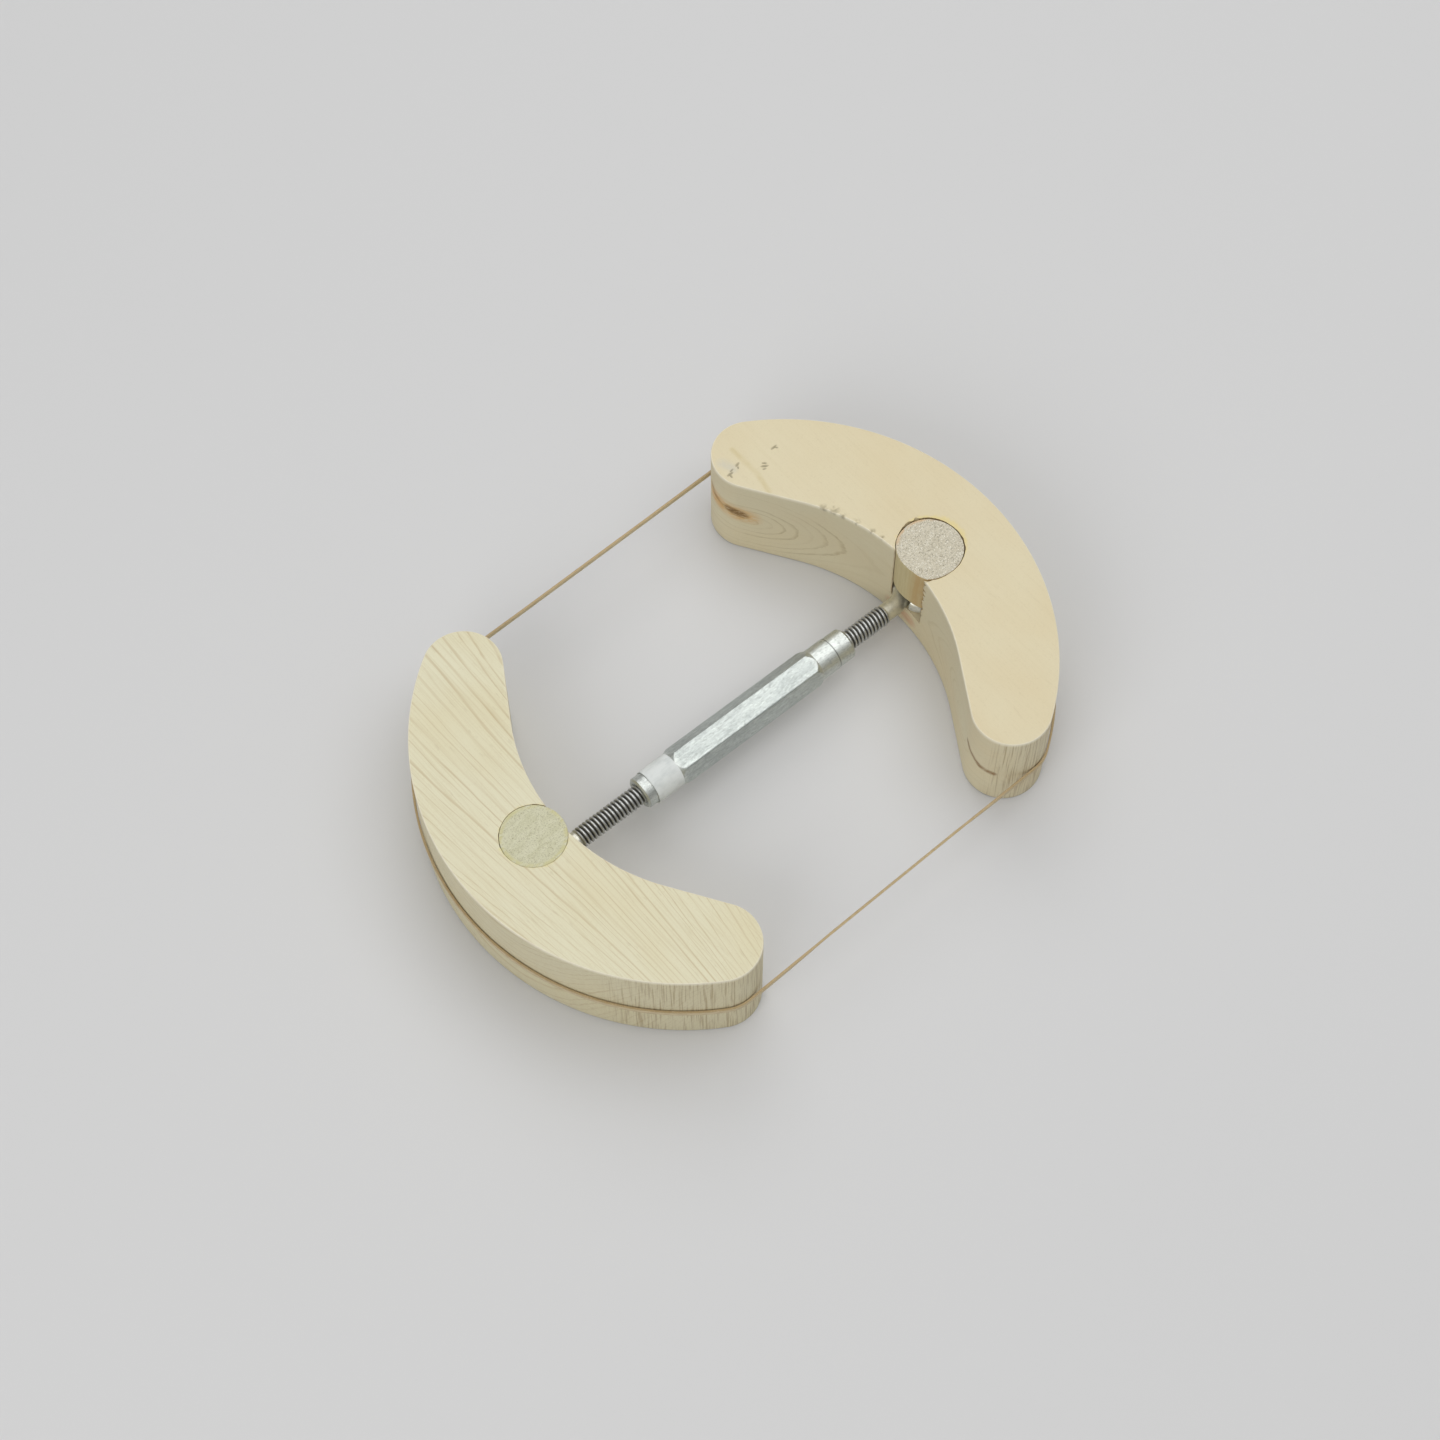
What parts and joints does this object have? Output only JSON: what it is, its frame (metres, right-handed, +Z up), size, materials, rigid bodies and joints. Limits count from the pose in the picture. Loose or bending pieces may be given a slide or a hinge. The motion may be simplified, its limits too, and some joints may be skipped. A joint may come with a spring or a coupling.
{
  "type": "hat stretcher",
  "caption": "Wooden hat stretcher: crescent blocks pushed apart by a hexagonal turnbuckle on eye bolts, drawn together by an elastic band.",
  "frame": {"origin": "middle of the object on the plane that both blocks rest on", "axes": "+X along the turnbuckle from the front block to the rear block, +Z up, +Y across the blocks"},
  "size_m": [0.1938, 0.1384, 0.034],
  "materials": {
    "block_wood": "bare sanded pine",
    "plug_wood": "end grain, sanded flush",
    "zinc_steel": "zinc plated",
    "bare_aluminium": "scuffed mill finish",
    "elastic": "natural rubber, matt"
  },
  "bodies": {
    "band": {"elastic_band": "elastic"},
    "sleeve": {"sleeve": "bare_aluminium"},
    "front_bolt": {"front_eye_bolt": "zinc_steel"},
    "rear_bolt": {"rear_eye_bolt": "zinc_steel"},
    "front_half": {"front_block": "block_wood", "front_plug": "plug_wood"},
    "rear_half": {"rear_block": "block_wood", "rear_plug": "plug_wood"}
  },
  "joints": [
    {"name": "sleeve_turn", "type": "hinge", "parent": "band", "child": "sleeve", "pos_m": [0, 0, 0.012], "axis": [1, 0, 0], "range_deg": [-3600, 3600]},
    {"name": "front_spread", "type": "slide", "parent": "band", "child": "front_bolt", "axis": [-1, 0, 0], "range_m": [-0.0127, 0.0127], "deforming": ["elastic_band"]},
    {"name": "rear_spread", "type": "slide", "parent": "band", "child": "rear_bolt", "axis": [1, 0, 0], "range_m": [-0.0127, 0.0127], "deforming": ["elastic_band"]},
    {"name": "front_pivot", "type": "hinge", "parent": "front_bolt", "child": "front_half", "pos_m": [-0.07202, 0, 0.012], "axis": [0, 0, 1], "range_deg": [-14, 3], "stiffness_Nm_per_rad": 0.1, "deforming": ["elastic_band"]},
    {"name": "rear_pivot", "type": "hinge", "parent": "rear_bolt", "child": "rear_half", "pos_m": [0.07202, 0, 0.012], "axis": [0, 0, 1], "range_deg": [-14, 3], "stiffness_Nm_per_rad": 0.1, "deforming": ["elastic_band"]}
  ],
  "couplings": [
    {"joint": "rear_spread", "follows": "front_spread", "ratio": 1},
    {"joint": "sleeve_turn", "follows": "front_spread", "rad_per_m": 4947.4}
  ]
}
